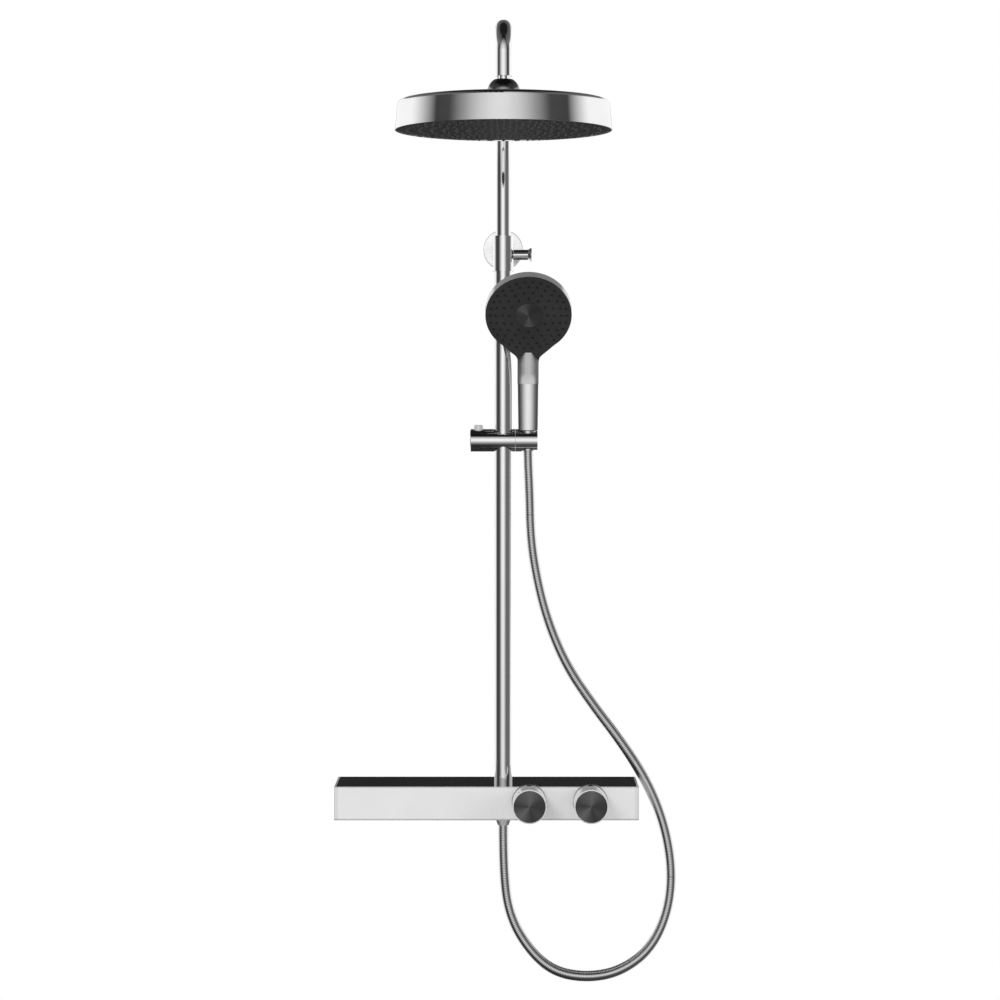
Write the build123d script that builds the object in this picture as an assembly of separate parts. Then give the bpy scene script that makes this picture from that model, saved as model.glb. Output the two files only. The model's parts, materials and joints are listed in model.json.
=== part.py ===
from build123d import *
import os
from math import cos, pi, radians, sin, sqrt, tan

# Rainfall shower column: a thermostatic shelf mixer, a telescopic riser with a gooseneck arm and a rain head,
# a sliding hand shower and its hose.
# Frame: the origin lies on the wall, midway between the two supply pipes. +X is to the right, +Y points into
# the wall and +Z is up. Heights of the column's parts are measured from the mixer's mid-height. Millimetres.

# ---- clearances ----
fit_gap = 0.1  # between pieces that are screwed, pushed or cemented together
running_gap = 0.08  # radial, between a shaft or button and its bore
free_gap = 0.3  # between curved faces that pass each other
overcut = 1.0  # how far a cut, or the end of a joined piece, reaches past the face it goes through

# ---- small edges ----
fine_bevel = 0.6
bevel = 0.8

# ---- water connections at the wall ----
union_spacing = 150.0
union_offset = 6.0  # how far an eccentric union lifts the mixer's inlets above the pipes
half_inch_thread_radius = 10.48
three_quarter_thread_radius = 13.22
union_thread_depth = 18.0  # into the wall
union_body_radius = 16.5
union_body_start = 6.0  # from the wall
union_body_length = 6.0
union_thread_length = 12.5
union_bore = 7.5
rosette_radius = 21.5
rosette_depth = 10.0
rosette_wall = 2.0
rosette_shoulder = 0.6  # share of the rosette's depth where its dome starts
nut_across_flats = 32.0
nut_length = 18.0
nut_lip = 3.5
washer_thickness = 2.0
inlet_radius = 11.0
inlet_flange_radius = 12.9
inlet_flange_thickness = 2.0
check_valve_length = 12.0
check_valve_bore = 4.0

# ---- mixer ----
mixer_width = 400.0
mixer_height = 44.0
mixer_depth = 98.0
mixer_wall_gap = 22.0
housing_wall = 2.5
housing_front_wall = 3.0
housing_edge_radius = 2.5
ledge_width = 2.5
ledge_height = 3.0
shelf_thickness = 4.0
end_cap_thickness = 5.0
end_rim = 2.5
end_corner_radius = 1.0
rear_cover_thickness = 3.0
nut_clearance = 1.0  # round the union nuts in the rear cover
bar_height = 25.0  # manifold bar
bar_depth = 26.0
bar_drop = 0.5  # of the bar's middle, below the mixer's mid-height
bar_overhang = 17.0  # of the bar, past its outermost connections
bar_behind_riser = 19.0  # from the riser's axis back to the bar's rear face
waterway_radius = 6.0
boss_radius = 13.5
post_radius = 5.0
housing_screw_radius = 2.0
housing_screw_head_radius = 3.6
housing_screw_head_height = 1.5
housing_screw_length = 12.0
left_screw_x = -30.0  # from the mixer's middle
right_screw_past_knob = 12.0  # right of the temperature knob's axis

# ---- knobs and cartridges ----
temperature_knob_inset = 64.0  # from the mixer's right-hand end to the knob's axis
knob_spacing = 80.0  # from the temperature knob's axis to the flow knob's
knob_rise = 3.0  # above the mixer's mid-height
cartridge_radius = 12.5
cartridge_length = 48.0
cartridge_neck_radius = 9.0
cartridge_neck_out = 2.0  # in front of the housing
chamber_wall = 2.0
spindle_radius = 4.0
spindle_depth = 26.0  # behind the housing's front
knob_ring_radius = 23.0
knob_ring_thickness = 3.5
knob_ring_round = 1.5
knob_gap = 0.5
knob_length = 44.0
knob_radius = 22.2
knob_round = 1.2
knob_wall = 2.5
knob_face_radius = 20.7
knob_face_thickness = 1.5
knob_face_edge = 0.4
knob_hub_radius = 8.0
knob_hub_start = 2.5  # inside the knob's open end
stop_button_radius = 3.5
stop_button_place = 7.0  # from the knob's open end
stop_button_stand = 1.1  # above the knob's side
stop_flange_radius = 4.6
stop_flange_thickness = 1.2
stop_spring_radius = 2.3
spring_wire = 0.4  # wire radius
spring_pitch = 1.9

# ---- riser ----
riser_to_flow_knob = 34.0  # from the riser's axis right to the flow knob's
riser_out = 65.0  # from the wall to the riser's axis
lower_riser_radius = 12.0
upper_riser_radius = 10.0
tube_wall = 1.2
connector_in_tube = 24.0
connector_bore = 7.0
connector_in_body = 12.0
arm_rise = 978.6  # of the arm's centre line
arm_reach = 358.0  # from the riser's axis to the rain head's axis
arm_bend_radius = 30.0
arm_end_drop = 61.6  # from the arm's centre line down to its end
insertion = 260.0  # of the upper tube in the lower one

# ---- wall bracket ----
bracket_rise = 733.0
sleeve_top_above = 15.0  # above the bracket's arm
sleeve_height = 47.0
sleeve_wall = 1.5
sleeve_cap = 2.0
bracket_arm_radius = 8.0
escutcheon_radius = 27.0
escutcheon_depth = 8.0
escutcheon_wall = 1.2
escutcheon_round = 1.5
wall_plate_radius = 23.5
wall_plate_thickness = 4.0
wall_plate_boss_radius = 5.5
wall_plate_boss_length = 14.0
bracket_screw_spacing = 30.0
bracket_screw_radius = 2.0
bracket_screw_depth = 30.0  # into the wall
bracket_screw_shank_radius = 2.25
bracket_screw_head_radius = 3.8
bracket_screw_head_height = 1.8
set_knob_drop = 10.0  # below the bracket's arm
set_knob_radius = 6.8
set_knob_flare_radius = 9.2
set_knob_length = 24.0
set_knob_flare_length = 5.0
set_knob_flare_rim = 1.2  # length of the flare's widest part, its bevel included
set_knob_bevel = 0.5
set_screw_radius = 3.0
bush_height = 26.0

# ---- seal carrier on the foot of the upper tube ----
carrier_height = 20.0
carrier_bore = 6.0
spigot_length = 9.0
spigot_radius = 7.6
o_ring_wire = 0.8
o_ring_spacing = 8.0
o_ring_floor_gap = 0.05
o_ring_fill = 0.95  # share of its groove's width that a ring fills

# ---- rain head ----
head_hang = 65.0  # from the arm's end down to the head's lower rim
head_radius = 130.0
head_taper = 3.0  # from the lower rim's radius to the shoulder's
head_band = 35.0
head_corner = 5.0
head_dome = 6.0
head_wall = 1.8
spray_face_recess = 1.0
spray_face_thickness = 3.0
mat_thickness = 1.5
mat_margin = 6.0
nozzle_radius = 1.7
nozzle_tip_radius = 1.2
nozzle_stand = 2.5  # below the spray face
nozzle_margin = 6.2  # from the mat's edge to the outermost ring of nozzles
nozzle_rings = 8
nozzles_per_ring = 6  # in the first ring, and added with each ring
ball_radius = 10.5
ball_neck_radius = 6.0
ball_drop = 14.0  # from the arm's end down to the ball's middle
ball_thread_length = 13.0
ball_bore = 4.0
liner_thickness = 1.2
liner_low, liner_high = 15.0, 36.0  # degrees above the ball's middle
seal_low, seal_high = -50.0, -10.0
socket_radius = 16.0
socket_rim_below = 2.5  # the socket's rim, below the ball's middle
collar_radius = 19.3
collar_band = 7.5
collar_over_rim = 1.0  # the band's top, above the socket's rim
collar_top_radius = 11.0
collar_top_above = 10.0  # above the ball's middle
collar_bulge = 1.6  # of the dome's edge, beyond the straight line between its ends
collar_mouth_radius = 10.2
collar_throat_radius = 8.5
collar_throat_above = 5.0

# ---- slider ----
slider_rise = 476.0
slider_radius = 15.0
slider_left = 44.0  # from the riser's axis
slider_right = 45.5
tilt_seam = 16.0  # from the riser's axis to the seam between body and holder
slider_cap_thickness = 3.0
slider_bore_gap = 0.4
liner_height = 12.0
liner_wall = 1.15
release_place = 33.0  # left of the riser's axis
release_radius = 6.0
release_stand = 5.5  # above the slider
release_round = 1.8
release_depth = 12.0  # below the slider's top
release_travel = 2.5
release_spring_length = 10.0
release_spring_radius = 4.3
spring_well_gap = 1.0
pivot_thread_radius = 2.5
pivot_thread_length = 2.4
pivot_shoulder_radius = 4.5
pivot_shoulder_length = 4.0
pivot_head_radius = 6.0
pivot_head_height = 1.2

# ---- hand shower ----
socket_reach = 33.0  # from the riser's axis to the socket's axis
cone_top_radius = 12.0
cone_bottom_radius = 9.3
cone_above = 12.7  # top of the cone nut, above the slider's axis
cone_below = 14.0
cone_thread = 11.0
slot_gap = 1.0  # beside the hose, where it passes through the holder's slot
hose_bore = 5.0
handle_foot_radius = 12.9
handle_seam_radius = 13.7
handle_core_radius = 11.0
handle_bore = 7.0
neck_radius = 14.1
socket_notch = 10.0  # the holder's top at the socket, above the slider's axis
sleeve_length = 62.0
handle_bend_above = 86.0  # above the slider's axis
handle_bend_radius = 36.0
face_tilt = 32.0  # degrees of the spray face from the vertical
neck_length = 100.7  # from the bend to the middle of the head
face_radius = 56.5
face_thickness = 3.0
rim_height = 13.0
rim_wall = 2.5
dome_shoulder_radius = 46.0
dome_shoulder_depth = 22.0
dome_back_radius = 18.0
dome_back_depth = 29.0
dome_wall = 2.4
boss_wall = 2.6  # round the select button's well
flare_points = [(36.0, -43.5), (21.0, -57.8), (neck_radius, -69.5)]  # the face's outline from disc to neck
flare_notch = (8.0, -62.0)  # the inner end of each flare
flare_top = -50.0
web_depth = 12.0  # of the shell behind the flares
select_radius = 17.5
select_stand = 1.2
select_travel = 1.5
select_gap = 1.0  # from the button to the nozzle mat round it
hand_nozzle_radius = 1.1
hand_nozzle_stand = 1.2
hand_nozzle_rings = [25.0, 34.0, 43.0, 50.0]
hand_nozzle_counts = [12, 18, 24, 30]

# ---- hose ----
hose_radius = 7.0
bend_share = 0.45  # share of a run's length that a bend takes at each of its ends
hose_nut_radius = 12.4
hose_nut_neck_radius = 7.4
hose_nut_length = 22.9
hose_nut_drop = 14.0  # below the mixer
hose_nut_cone = 14.0
outlet_drop = 1.0  # of the outlet nipple's end, above the mixer's bottom
outlet_length = 20.0
hose_points = [  # the hose's route between its two nuts, as it hangs: x is from the riser's axis
    (33.0, -65.0, 455.0),
    (35.0, -65.0, 415.0),
    (36.5, -64.0, 350.0),
    (45.5, -62.0, 293.0),
    (60.5, -60.0, 236.5),
    (84.5, -59.0, 180.5),
    (119.0, -58.0, 129.5),
    (156.5, -58.0, 81.0),
    (191.5, -59.0, 28.0),
    (215.0, -60.0, -29.5),
    (225.5, -61.0, -92.0),
    (219.0, -62.0, -149.0),
    (196.0, -63.0, -196.5),
    (157.0, -64.0, -225.0),
    (114.5, -65.0, -233.5),
    (70.0, -66.0, -226.5),
    (37.0, -66.0, -200.0),
    (9.0, -66.0, -154.0),
    (0.0, -65.0, -95.0),
]

# ---- places worked out from the sizes ----
mixer_z = union_offset
temperature_x = mixer_width / 2 - temperature_knob_inset
flow_x = temperature_x - knob_spacing
riser_x = flow_x - riser_to_flow_knob
mixer_top = mixer_z + mixer_height / 2
mixer_bottom = mixer_z - mixer_height / 2
mixer_back = -mixer_wall_gap
mixer_front = mixer_back - mixer_depth
shelf_under = mixer_top - shelf_thickness
cap_start = mixer_width / 2 - end_cap_thickness
riser_y = -riser_out
bar_rear = riser_y + bar_behind_riser
bar_front = bar_rear - bar_depth
bar_top = mixer_z + bar_height / 2 - bar_drop
bar_bottom = bar_top - bar_height
chamber_radius = cartridge_radius + fit_gap + chamber_wall
chamber_start = housing_front_wall + ledge_width + fit_gap  # behind the housing's front
inlet_face = union_body_start + union_body_length + union_thread_length + washer_thickness
knob_open_end = knob_ring_thickness + knob_gap
lower_riser_bore = lower_riser_radius - tube_wall
bracket_z = mixer_z + bracket_rise
sleeve_top = bracket_z + sleeve_top_above
sleeve_bottom = sleeve_top - sleeve_height
set_knob_z = bracket_z - set_knob_drop
lower_riser_top = sleeve_top - sleeve_cap
sleeve_radius = lower_riser_radius + fit_gap + sleeve_wall
upper_riser_foot = lower_riser_top - insertion
head_y = riser_y - arm_reach
arm_end_z = mixer_z + arm_rise - arm_end_drop
ball_z = arm_end_z - ball_drop
liner_inner = ball_radius + running_gap
liner_outer = liner_inner + liner_thickness
seat_radius = liner_outer + running_gap
head_bottom = arm_end_z - head_hang
head_top_radius = head_radius - head_taper
slider_z = mixer_z + slider_rise
liner_inner_radius = lower_riser_radius + running_gap
liner_outer_radius = liner_inner_radius + liner_wall
holder_start = tilt_seam + free_gap
socket_x = riser_x + socket_reach
cone_top = slider_z + cone_above
cone_bottom = slider_z - cone_below
handle_bottom = cone_top + free_gap
hose_nut_bottom = mixer_bottom - hose_nut_drop
hose_nut_top = hose_nut_bottom + hose_nut_length
outlet_end = mixer_bottom + outlet_drop

# ---- helpers ----


def lathe(*points):
    """A solid of revolution about Z from its half outline, given as (radius, height) points."""
    outline = Plane.XZ * make_face(Polyline(*points, close=True))
    return revolve(outline, Axis.Z)


def tube(outer, inner, low, high):
    """A ring or tube about Z between two heights."""
    return lathe((inner, low), (outer, low), (outer, high), (inner, high))


def rod(radius, low, high):
    """A cylinder about Z between two heights."""
    return Pos(0, 0, low) * Cylinder(radius, high - low, align=(Align.CENTER, Align.CENTER, Align.MIN))


def block(low, high):
    """A box between two corners."""
    size = [b - a for a, b in zip(low, high)]
    return Pos(*low) * Box(*size, align=(Align.MIN, Align.MIN, Align.MIN))


def upright(x, y, shape):
    """A shape modelled about Z, moved to stand at x, y."""
    return Pos(x, y, 0) * shape


def facing_room(x, y, z, shape):
    """A shape modelled about Z, laid so that its +Z points into the room."""
    return Plane(origin=(x, y, z), x_dir=(1, 0, 0), z_dir=(0, -1, 0)) * shape


def facing_right(x, y, z, shape):
    """A shape modelled about Z, laid so that its +Z points along +X."""
    return Plane(origin=(x, y, z), x_dir=(0, 1, 0), z_dir=(1, 0, 0)) * shape


def hexagon(across_flats, low, high):
    """A hexagonal prism about Z."""
    outline = RegularPolygon(across_flats / 2, 6, major_radius=False)
    return Pos(0, 0, low) * extrude(outline, high - low)


def coil(radius, low, high):
    """A compression spring about Z: a round wire along a helix between two heights."""
    height = high - low - 2 * spring_wire
    line = Helix(spring_pitch, height, radius)
    spring = sweep((line ^ 0) * Circle(spring_wire), path=line, is_frenet=True)
    return Pos(0, 0, low + spring_wire) * spring


def rim_edge(shape):
    """The outermost circle at the top of a shape turned about Z."""
    return shape.edges().group_by(Axis.Z)[-1].sort_by(SortBy.RADIUS)[-1]


def spherical_band(inner, outer, low_angle, high_angle):
    """A zone of a spherical shell about the origin, between two angles above its middle."""
    a, b = radians(low_angle), radians(high_angle)
    m = (a + b) / 2
    low_in, low_out = (inner * cos(a), inner * sin(a)), (outer * cos(a), outer * sin(a))
    high_in, high_out = (inner * cos(b), inner * sin(b)), (outer * cos(b), outer * sin(b))
    edge = (
        ThreePointArc(low_in, (inner * cos(m), inner * sin(m)), high_in)
        + Line(high_in, high_out)
        + ThreePointArc(high_out, (outer * cos(m), outer * sin(m)), low_out)
        + Line(low_out, low_in)
    )
    return revolve(Plane.XZ * make_face(edge), Axis.Z)


def ring_of(count, radius):
    """Evenly spaced places on a circle about Z."""
    return [Pos(radius * cos(2 * pi * i / count), radius * sin(2 * pi * i / count), 0) for i in range(count)]


# ---- connections at the wall ----


def inlet_unions():
    """Two eccentric unions: a thread in the wall, an offset body and a larger thread towards the mixer."""
    body_end = union_body_start + union_body_length
    end = body_end + union_thread_length
    low = facing_room(0, 0, 0, rod(half_inch_thread_radius, -union_thread_depth, union_body_start))
    middle = facing_room(0, 0, union_offset / 2, rod(union_body_radius, union_body_start, body_end))
    high = facing_room(0, 0, union_offset, rod(three_quarter_thread_radius, body_end, end))
    way_in = facing_room(0, 0, 0, rod(union_bore, -union_thread_depth, (union_body_start + body_end) / 2))
    way_out = facing_room(0, 0, union_offset, rod(union_bore, union_body_start + overcut, end))
    union = low + middle + high - way_in - way_out
    return [Pos(side * union_spacing / 2, 0, 0) * union for side in (-1, 1)]


def wall_rosettes():
    """Two domed cups, open towards the wall, round the unions' bodies."""
    hole = union_body_radius + free_gap
    cup = lathe(
        (rosette_radius - rosette_wall, 0),
        (rosette_radius, 0),
        (rosette_radius, rosette_depth * rosette_shoulder),
        (rosette_radius - rosette_wall, rosette_depth),
        (hole, rosette_depth),
        (hole, rosette_depth - rosette_wall),
        (rosette_radius - rosette_wall, rosette_depth * rosette_shoulder - rosette_wall / 2),
    )
    return [facing_room(side * union_spacing / 2, 0, union_offset / 2, cup) for side in (-1, 1)]


def union_nuts():
    """Two captive hexagon nuts, each gripping the flange of a mixer inlet."""
    end = inlet_face + inlet_flange_thickness + fit_gap + nut_lip
    start = end - nut_length
    nut = hexagon(nut_across_flats, start, end)
    nut = nut - rod(three_quarter_thread_radius + fit_gap, start, end - nut_lip)
    nut = nut - rod(inlet_radius + fit_gap, start, end)
    return [facing_room(side * union_spacing / 2, 0, union_offset, nut) for side in (-1, 1)]


def filter_washers():
    """Two sieve washers between the unions and the mixer's inlets."""
    washer = tube(inlet_flange_radius - fit_gap, union_bore, inlet_face - washer_thickness, inlet_face)
    return [facing_room(side * union_spacing / 2, 0, union_offset, washer) for side in (-1, 1)]


def check_valves():
    """Two non-return cartridges pushed into the mixer's inlets."""
    valve = tube(union_bore - fit_gap, check_valve_bore, inlet_face, inlet_face + check_valve_length)
    return [facing_room(side * union_spacing / 2, 0, union_offset, valve) for side in (-1, 1)]


# ---- mixer ----


def at_knob(x, shape):
    """A shape modelled about Z from the housing's front face, laid at a knob."""
    return facing_room(x, mixer_front, mixer_z + knob_rise, shape)


def valve_body():
    """Brass manifold: a bar with two inlets, two cartridge chambers, a riser boss and a hose outlet boss."""
    left, right = -union_spacing / 2 - bar_overhang, temperature_x + bar_overhang
    body = block((left, bar_front, bar_bottom), (right, bar_rear, bar_top))
    chamber_end = chamber_start + cartridge_length + fit_gap
    bar_from_front = bar_front - mixer_front
    for x in (flow_x, temperature_x):
        body = body + at_knob(x, rod(chamber_radius, -bar_from_front - overcut, -chamber_start))
    riser_boss = rod(boss_radius, bar_bottom, shelf_under - fit_gap)
    outlet_boss = rod(boss_radius, hose_nut_top + fit_gap, bar_top)
    body = body + upright(riser_x, riser_y, riser_boss + outlet_boss)
    for side in (-1, 1):
        inlet = rod(inlet_radius, inlet_face, -bar_rear + overcut)
        inlet = inlet + rod(inlet_flange_radius, inlet_face, inlet_face + inlet_flange_thickness)
        body = body + facing_room(side * union_spacing / 2, 0, union_offset, inlet)
    for x in housing_screw_places():
        rear_post = rod(post_radius, mixer_wall_gap + rear_cover_thickness, -bar_rear + overcut)
        body = body + facing_room(x, 0, mixer_z, rear_post)
        foot = rod(post_radius, mixer_bottom + housing_wall, bar_bottom + overcut)
        body = body + upright(x, (bar_front + bar_rear) / 2, foot)
    for x in (flow_x, temperature_x):
        body = body - at_knob(x, rod(cartridge_radius + fit_gap, -chamber_end, -chamber_start))
    for side in (-1, 1):
        way = rod(union_bore, inlet_face, -bar_rear + bar_depth / 2)
        body = body - facing_room(side * union_spacing / 2, 0, union_offset, way)
    waterway_y = (bar_front + bar_rear) / 2
    waterway = rod(waterway_radius, left + waterway_radius, right - waterway_radius)
    body = body - facing_right(0, waterway_y, mixer_z, waterway)
    tapped = half_inch_thread_radius + fit_gap
    upper_thread = rod(tapped, shelf_under - connector_in_body, shelf_under)
    lower_thread = rod(tapped, mixer_bottom, outlet_end + outlet_length)
    way_through = rod(waterway_radius, mixer_bottom, shelf_under)
    body = body - upright(riser_x, riser_y, upper_thread + lower_thread + way_through)
    for screw in housing_screws():
        body = body - screw
    return body


def mixer_envelope():
    """The mixer's outer form, with its four rounded vertical corners at the front and at the ends."""
    low, high = (-mixer_width / 2, mixer_front), (mixer_width / 2, mixer_back)
    plan = Pos(0, (mixer_front + mixer_back) / 2) * Rectangle(high[0] - low[0], high[1] - low[1])
    front_corners = plan.vertices().group_by(Axis.Y)[0]
    plan = fillet(front_corners, end_corner_radius)
    return Pos(0, 0, mixer_bottom) * extrude(plan, mixer_height)


def housing_section():
    """The housing's section across its length: bottom, front and the ledge that carries the shelf."""
    front_inside = mixer_front + housing_front_wall
    points = [
        (mixer_front, mixer_bottom),
        (mixer_back, mixer_bottom),
        (mixer_back, mixer_bottom + housing_wall),
        (front_inside, mixer_bottom + housing_wall),
        (front_inside, shelf_under - ledge_height),
        (front_inside + ledge_width, shelf_under - ledge_height),
        (front_inside + ledge_width, shelf_under),
        (front_inside, shelf_under),
        (front_inside, mixer_top),
        (mixer_front, mixer_top),
    ]
    section = make_face(Polyline(*points, close=True))
    front_corners = section.vertices().group_by(Axis.X)[0]
    return fillet(front_corners, housing_edge_radius)


def across(section, low, high):
    """A section given in Y and Z, extruded along X."""
    return Plane(origin=(low, 0, 0), x_dir=(0, 1, 0), z_dir=(1, 0, 0)) * extrude(section, high - low)


def mixer_housing():
    """Front and bottom of the mixer in one profile, with holes for the cartridges' necks and the hose nut."""
    housing = across(housing_section(), -cap_start, cap_start)
    for x in (flow_x, temperature_x):
        housing = housing - at_knob(x, rod(cartridge_neck_radius + free_gap, -2 * chamber_start, overcut))
    hole_top = mixer_bottom + housing_wall + overcut
    hose_hole = rod(hose_nut_radius + free_gap, mixer_bottom - overcut, hole_top)
    housing = housing - upright(riser_x, riser_y, hose_hole)
    for screw in housing_screws():
        housing = housing - screw
    return housing


def end_cap(side):
    """An end of the mixer: the same outline as the housing, with a step that holds the shelf's end."""
    outline = Pos((mixer_front + mixer_back) / 2, mixer_z) * Rectangle(mixer_depth, mixer_height)
    outline = fillet(outline.vertices().group_by(Axis.X)[0], housing_edge_radius)
    cap = across(outline, cap_start, mixer_width / 2) & mixer_envelope()
    step_end = mixer_width / 2 - end_rim
    step = block(
        (cap_start, mixer_front + housing_front_wall, shelf_under),
        (step_end, mixer_back + overcut, mixer_top + overcut),
    )
    cap = cap - step
    return cap if side > 0 else mirror(cap, Plane.YZ)


def shelf_plate():
    """Shelf on top of the mixer, with a hole for the riser's connector."""
    front = mixer_front + housing_front_wall + fit_gap
    half = mixer_width / 2 - end_rim - fit_gap
    plate = block((-half, front, shelf_under), (half, mixer_back, mixer_top))
    return plate - upright(riser_x, riser_y, rod(half_inch_thread_radius + fit_gap, shelf_under, mixer_top))


def rear_cover():
    """Plate that closes the mixer's back, with holes for the two union nuts."""
    low = (-cap_start, mixer_back - rear_cover_thickness, mixer_bottom + housing_wall)
    high = (cap_start, mixer_back, shelf_under)
    cover = block(low, high)
    hole_radius = nut_across_flats / sqrt(3) + nut_clearance
    nut_hole = rod(hole_radius, 0, mixer_wall_gap + rear_cover_thickness + overcut)
    for side in (-1, 1):
        cover = cover - facing_room(side * union_spacing / 2, 0, union_offset, nut_hole)
    for screw in housing_screws():
        cover = cover - screw
    return cover


def housing_screw_places():
    """The housing screws' x, along the manifold's bar."""
    return left_screw_x, temperature_x + right_screw_past_knob


def housing_screws():
    """Countersunk screws that hold the rear cover and the housing's bottom to the manifold."""
    head_top = housing_screw_head_height
    screw = lathe(
        (0, 0),
        (housing_screw_head_radius, 0),
        (housing_screw_radius, head_top),
        (housing_screw_radius, housing_screw_length),
        (0, housing_screw_length),
    )
    screws = []
    for x in housing_screw_places():
        screws.append(facing_room(x, mixer_back, mixer_z, screw))
        screws.append(Pos(x, (bar_front + bar_rear) / 2, mixer_bottom) * screw)
    return screws


def cartridge(x):
    """A cartridge in its chamber, with a neck that comes through the housing's front."""
    body = rod(cartridge_radius, -chamber_start - cartridge_length, -chamber_start)
    body = body + rod(cartridge_neck_radius, -chamber_start - overcut, cartridge_neck_out)
    body = body - rod(spindle_radius + running_gap, -spindle_depth - fit_gap, cartridge_neck_out)
    return at_knob(x, body)


def spindle(x):
    """A cartridge's spindle, from inside the cartridge to inside the knob's hub."""
    end = knob_open_end + knob_length - knob_face_thickness - knob_wall
    return at_knob(x, rod(spindle_radius, -spindle_depth, end))


def knob_base_rings():
    """Two fixed rings on the housing's front, behind the knobs."""
    ring = tube(knob_ring_radius, cartridge_neck_radius + free_gap, 0, knob_ring_thickness)
    ring = fillet(rim_edge(ring), knob_ring_round)
    return [at_knob(x, ring) for x in (flow_x, temperature_x)]


def knob(x):
    """A hollow knob with a rounded front edge, a seat for its disc, a hub and a hole for its stop button."""
    start = knob_open_end
    front = start + knob_length
    seat = front - knob_face_thickness
    inside = seat - knob_wall
    body = rod(knob_radius, start, front)
    body = fillet(rim_edge(body), knob_round)
    hollow = rod(knob_radius - knob_wall, start, inside)
    hollow = hollow - rod(knob_hub_radius, start + knob_hub_start, inside)
    body = body - hollow - rod(spindle_radius + fit_gap, start, inside + fit_gap)
    body = body - rod(knob_face_radius + fit_gap, seat, front)
    button_hole = rod(stop_button_radius + running_gap, knob_hub_radius + overcut, knob_radius + overcut)
    return at_knob(x, body) - upright_in_knob(x, button_hole)


def upright_in_knob(x, shape):
    """A shape modelled about Z from the knob's axis, placed where the stop button is."""
    y = mixer_front - knob_open_end - stop_button_place
    return Pos(x, y, mixer_z + knob_rise) * shape


def knob_face(x):
    """The disc let into the knob's front, with a fine bevel."""
    front = knob_open_end + knob_length
    return at_knob(
        x,
        lathe(
            (0, front - knob_face_thickness),
            (knob_face_radius, front - knob_face_thickness),
            (knob_face_radius, front - knob_face_edge),
            (knob_face_radius - knob_face_edge, front),
            (0, front),
        ),
    )


def stop_button_seat():
    """How far the button's flange lies from the knob's axis, just inside the knob's wall."""
    inside = knob_radius - knob_wall
    return sqrt(inside**2 - stop_flange_radius**2) - free_gap


def stop_button(x):
    """A small round button in the knob's side, with a flange that keeps it in."""
    seat = stop_button_seat()
    top = knob_radius + stop_button_stand
    button = lathe(
        (0, seat - stop_flange_thickness),
        (stop_flange_radius, seat - stop_flange_thickness),
        (stop_flange_radius, seat),
        (stop_button_radius, seat),
        (stop_button_radius, top - fine_bevel),
        (stop_button_radius - fine_bevel, top),
        (0, top),
    )
    return upright_in_knob(x, button)


def stop_spring(x):
    """The stop button's return spring, on the knob's hub."""
    top = stop_button_seat() - stop_flange_thickness
    return upright_in_knob(x, coil(stop_spring_radius, knob_hub_radius, top))


def hose_outlet():
    """Threaded nipple in the manifold's lower boss."""
    nipple = tube(half_inch_thread_radius, waterway_radius, outlet_end, outlet_end + outlet_length)
    return upright(riser_x, riser_y, nipple)


# ---- riser ----


def riser_connector():
    """Connector between the manifold and the riser's foot: a thread below and a plain spigot above."""
    connector = rod(half_inch_thread_radius, shelf_under - connector_in_body, mixer_top)
    connector = connector + rod(lower_riser_bore - fit_gap, mixer_top, mixer_top + connector_in_tube)
    way = rod(connector_bore, shelf_under - connector_in_body, mixer_top + connector_in_tube)
    return upright(riser_x, riser_y, connector - way)


def set_screw_hole(radius):
    """A hole along +X where the set knob's screw goes through."""
    return facing_right(riser_x, riser_y, set_knob_z, rod(radius, 0, 2 * sleeve_radius))


def lower_riser():
    """Lower tube of the riser, standing on the shelf and ending in the bracket's sleeve."""
    riser = upright(riser_x, riser_y, tube(lower_riser_radius, lower_riser_bore, mixer_top, lower_riser_top))
    return riser - set_screw_hole(set_screw_radius + free_gap)


def guide_bush():
    """Plastic bush that guides the upper tube in the top of the lower one."""
    inner = upper_riser_radius + running_gap
    ring = tube(lower_riser_bore - fit_gap, inner, lower_riser_top - bush_height, lower_riser_top)
    bush = upright(riser_x, riser_y, ring)
    return bush - set_screw_hole(set_screw_radius + free_gap)


def wall_plate():
    """Round plate screwed to the wall, with a threaded boss that the bracket's arm goes over."""
    plate = rod(wall_plate_radius, 0, wall_plate_thickness)
    plate = plate + rod(wall_plate_boss_radius, 0, wall_plate_thickness + wall_plate_boss_length)
    plate = facing_room(riser_x, 0, bracket_z, plate)
    for screw in wall_screws():
        plate = plate - screw
    return plate


def wall_screws():
    """Two countersunk screws through the wall plate: a plain shank in the plate and a thread in the wall."""
    head_start = wall_plate_thickness - bracket_screw_head_height
    screw = lathe(
        (0, -bracket_screw_depth),
        (bracket_screw_radius, -bracket_screw_depth),
        (bracket_screw_radius, 0),
        (bracket_screw_shank_radius, 0),
        (bracket_screw_shank_radius, head_start),
        (bracket_screw_head_radius, wall_plate_thickness),
        (0, wall_plate_thickness),
    )
    rises = (-bracket_screw_spacing / 2, bracket_screw_spacing / 2)
    return [facing_room(riser_x, 0, bracket_z + rise, screw) for rise in rises]


def wall_escutcheon():
    """Round cup over the wall plate, open towards the wall, with a hole for the bracket's arm."""
    hole = bracket_arm_radius + free_gap
    cup = lathe(
        (escutcheon_radius - escutcheon_wall, 0),
        (escutcheon_radius, 0),
        (escutcheon_radius, escutcheon_depth),
        (hole, escutcheon_depth),
        (hole, escutcheon_depth - escutcheon_wall),
        (escutcheon_radius - escutcheon_wall, escutcheon_depth - escutcheon_wall),
    )
    cup = fillet(rim_edge(cup), escutcheon_round)
    return facing_room(riser_x, 0, bracket_z, cup)


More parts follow.
